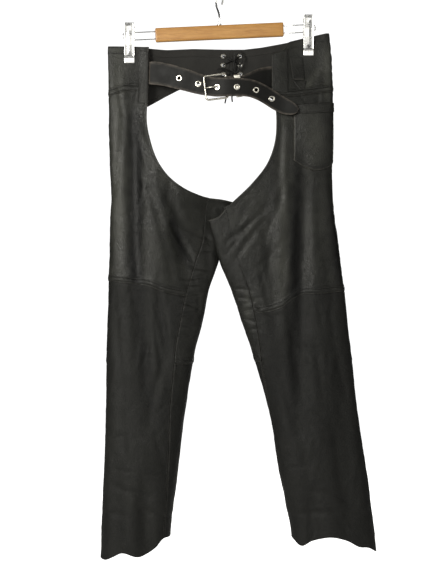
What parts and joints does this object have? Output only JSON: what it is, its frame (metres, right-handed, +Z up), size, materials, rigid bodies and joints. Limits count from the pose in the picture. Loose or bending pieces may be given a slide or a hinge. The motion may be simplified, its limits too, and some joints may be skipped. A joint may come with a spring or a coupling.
{
  "type": "leather chaps on a clip hanger",
  "caption": "Laced leather chaps with belt, buckle and hip pocket, hanging by the waist from a clip hanger.",
  "frame": {"origin": "seat of the hanger's hook, where it rests on a rail", "axes": "+Z up, the garment's front faces -Y, +X to the right seen from the front"},
  "size_m": [0.5545, 0.1059, 1.1423],
  "materials": {
    "black_leather": "satin",
    "belt_leather": "matte",
    "nickel": "polished",
    "chrome": "polished",
    "varnished_wood": "varnished"
  },
  "bodies": {
    "root": {"belt_eyelet_1": "nickel", "belt_eyelet_2": "nickel", "belt_eyelet_3": "nickel", "belt_eyelet_4": "nickel", "belt_eyelet_5": "nickel", "belt_eyelet_6": "nickel", "belt_keeper": "nickel", "belt_strap": "belt_leather", "buckle_frame": "nickel", "buckle_prong": "nickel", "buckle_strap": "belt_leather", "clip_back_L": "chrome", "clip_back_R": "chrome", "clip_front_L": "chrome", "clip_front_R": "chrome", "clip_spring_L": "chrome", "clip_spring_R": "chrome", "front_strip_L": "black_leather", "front_strip_R": "black_leather", "hanger_bar": "varnished_wood", "hanger_hook": "chrome", "hanger_wire_L": "chrome", "hanger_wire_R": "chrome", "hip_tab_R": "black_leather", "hip_tab_point_R": "black_leather", "hip_yoke_L": "black_leather", "hip_yoke_R": "black_leather", "lace_a": "black_leather", "lace_b": "black_leather", "lace_end_a": "black_leather", "lace_end_b": "black_leather", "lace_eyelet_L1": "nickel", "lace_eyelet_L2": "nickel", "lace_eyelet_L3": "nickel", "lace_eyelet_R1": "nickel", "lace_eyelet_R2": "nickel", "lace_eyelet_R3": "nickel", "lace_knot": "black_leather", "lace_loop_a": "black_leather", "lace_loop_b": "black_leather", "pocket_R": "black_leather", "pocket_hem_R": "black_leather", "shin_back_L": "black_leather", "shin_back_R": "black_leather", "shin_front_L": "black_leather", "shin_front_R": "black_leather", "thigh_back_L": "black_leather", "thigh_back_R": "black_leather", "thigh_front_L": "black_leather", "thigh_front_R": "black_leather"}
  },
  "joints": []
}
